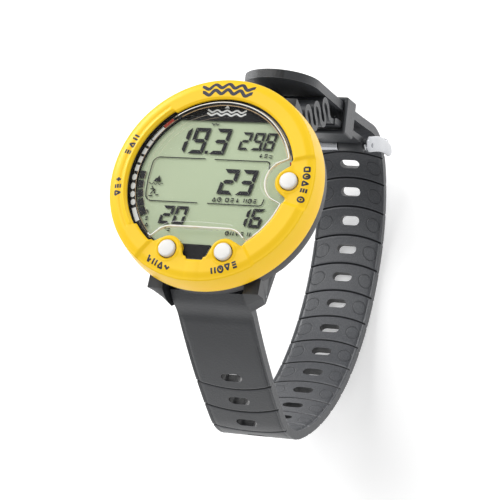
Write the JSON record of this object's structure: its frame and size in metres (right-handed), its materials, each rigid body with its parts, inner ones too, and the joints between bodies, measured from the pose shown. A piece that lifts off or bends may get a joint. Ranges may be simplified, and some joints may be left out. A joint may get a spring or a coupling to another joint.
{
  "type": "dive computer",
  "caption": "Wrist dive computer with a round display in a soft ring boot, push buttons, a battery bay in the back and a slotted rubber strap with folds, buckle and keeper.",
  "frame": {"origin": "centre of the flat case back", "axes": "+Z out of the display, +Y towards twelve o'clock, +X towards three o'clock; the strap loop hangs down -Z and the wrist passes along X"},
  "size_m": [0.08, 0.1495, 0.1575],
  "materials": {
    "case_plastic": "fine spark-eroded texture",
    "boot_rubber": "smooth satin yellow",
    "clear_cover": "clear polished",
    "seal_rubber": "soft black",
    "mask_print": "black printed film",
    "lcd": "grey-green reflective display",
    "holder_plastic": "moulded white",
    "strip_rubber": "layered conductive strip",
    "board": "green solder mask",
    "steel": "turned",
    "switch_metal": "pressed dome",
    "button_plastic": "pearl white",
    "cell_steel": "nickel plated",
    "contact_brass": "plated",
    "strap_rubber": "satin grain",
    "buckle_steel": "satin polished"
  },
  "bodies": {
    "case": {"case_body": "case_plastic", "bezel_boot": "boot_rubber", "display_cover": "clear_cover", "cover_gasket": "seal_rubber", "dial_mask": "mask_print", "lcd_glass": "lcd", "lcd_holder": "holder_plastic", "contact_strips": "strip_rubber", "circuit_board": "board", "board_screws": "steel", "button_switches": "switch_metal", "battery_cell": "cell_steel", "battery_pins": "contact_brass", "battery_lid": "case_plastic", "lid_gasket": "seal_rubber", "pressure_sensor": "steel", "sensor_gasket": "seal_rubber", "water_contacts": "steel", "buzzer": "contact_brass", "strap_pins": "steel", "short_eye": "strap_rubber", "spring_mode": "steel", "spring_plan": "steel", "spring_time": "steel"},
    "mode_button": {"button_mode": "button_plastic", "seal_mode": "seal_rubber", "clip_mode": "steel"},
    "plan_button": {"button_plan": "button_plastic", "seal_plan": "seal_rubber", "clip_plan": "steel"},
    "time_button": {"button_time": "button_plastic", "seal_time": "seal_rubber", "clip_time": "steel"},
    "lock_ring": {"lock_ring": "case_plastic"},
    "strap_loop": {"strap_long": "strap_rubber", "short_bellows": "strap_rubber", "short_end": "strap_rubber", "buckle_pin": "steel"},
    "frame": {"buckle_frame": "buckle_steel"},
    "prong": {"buckle_prong": "buckle_steel"},
    "keeper": {"strap_keeper": "strap_rubber"}
  },
  "joints": [
    {"name": "mode_press", "type": "slide", "parent": "case", "child": "mode_button", "axis": [0, 0, -1], "range_m": [0, 0.001], "stiffness_N_per_m": 1500, "springref_m": -0.0006, "deforming": ["spring_mode"]},
    {"name": "plan_press", "type": "slide", "parent": "case", "child": "plan_button", "axis": [0, 0, -1], "range_m": [0, 0.001], "stiffness_N_per_m": 1500, "springref_m": -0.0006, "deforming": ["spring_plan"]},
    {"name": "time_press", "type": "slide", "parent": "case", "child": "time_button", "axis": [0, 0, -1], "range_m": [0, 0.001], "stiffness_N_per_m": 1500, "springref_m": -0.0006, "deforming": ["spring_time"]},
    {"name": "lock_turn", "type": "hinge", "parent": "case", "child": "lock_ring", "pos_m": [0, 0, 0], "axis": [0, 0, 1], "range_deg": [0, 40]},
    {"name": "strap_swing", "type": "hinge", "parent": "case", "child": "strap_loop", "pos_m": [0, -0.0345, 0.002], "axis": [1, 0, 0], "range_deg": [-8, 8], "stiffness_Nm_per_rad": 2, "deforming": ["short_bellows"]},
    {"name": "frame_swing", "type": "hinge", "parent": "strap_loop", "child": "frame", "pos_m": [0, 0.064, -0.0823], "axis": [1, 0, 0], "range_deg": [0, 5]},
    {"name": "prong_lift", "type": "hinge", "parent": "strap_loop", "child": "prong", "pos_m": [0, 0.064, -0.0823], "axis": [1, 0, 0], "range_deg": [0, 5]},
    {"name": "keeper_slide", "type": "slide", "parent": "strap_loop", "child": "keeper", "axis": [0, 0.18, -0.9837], "range_m": [-0.001, 0.007]}
  ],
  "couplings": [
    {"joint": "prong_lift", "follows": "frame_swing", "ratio": 1}
  ]
}
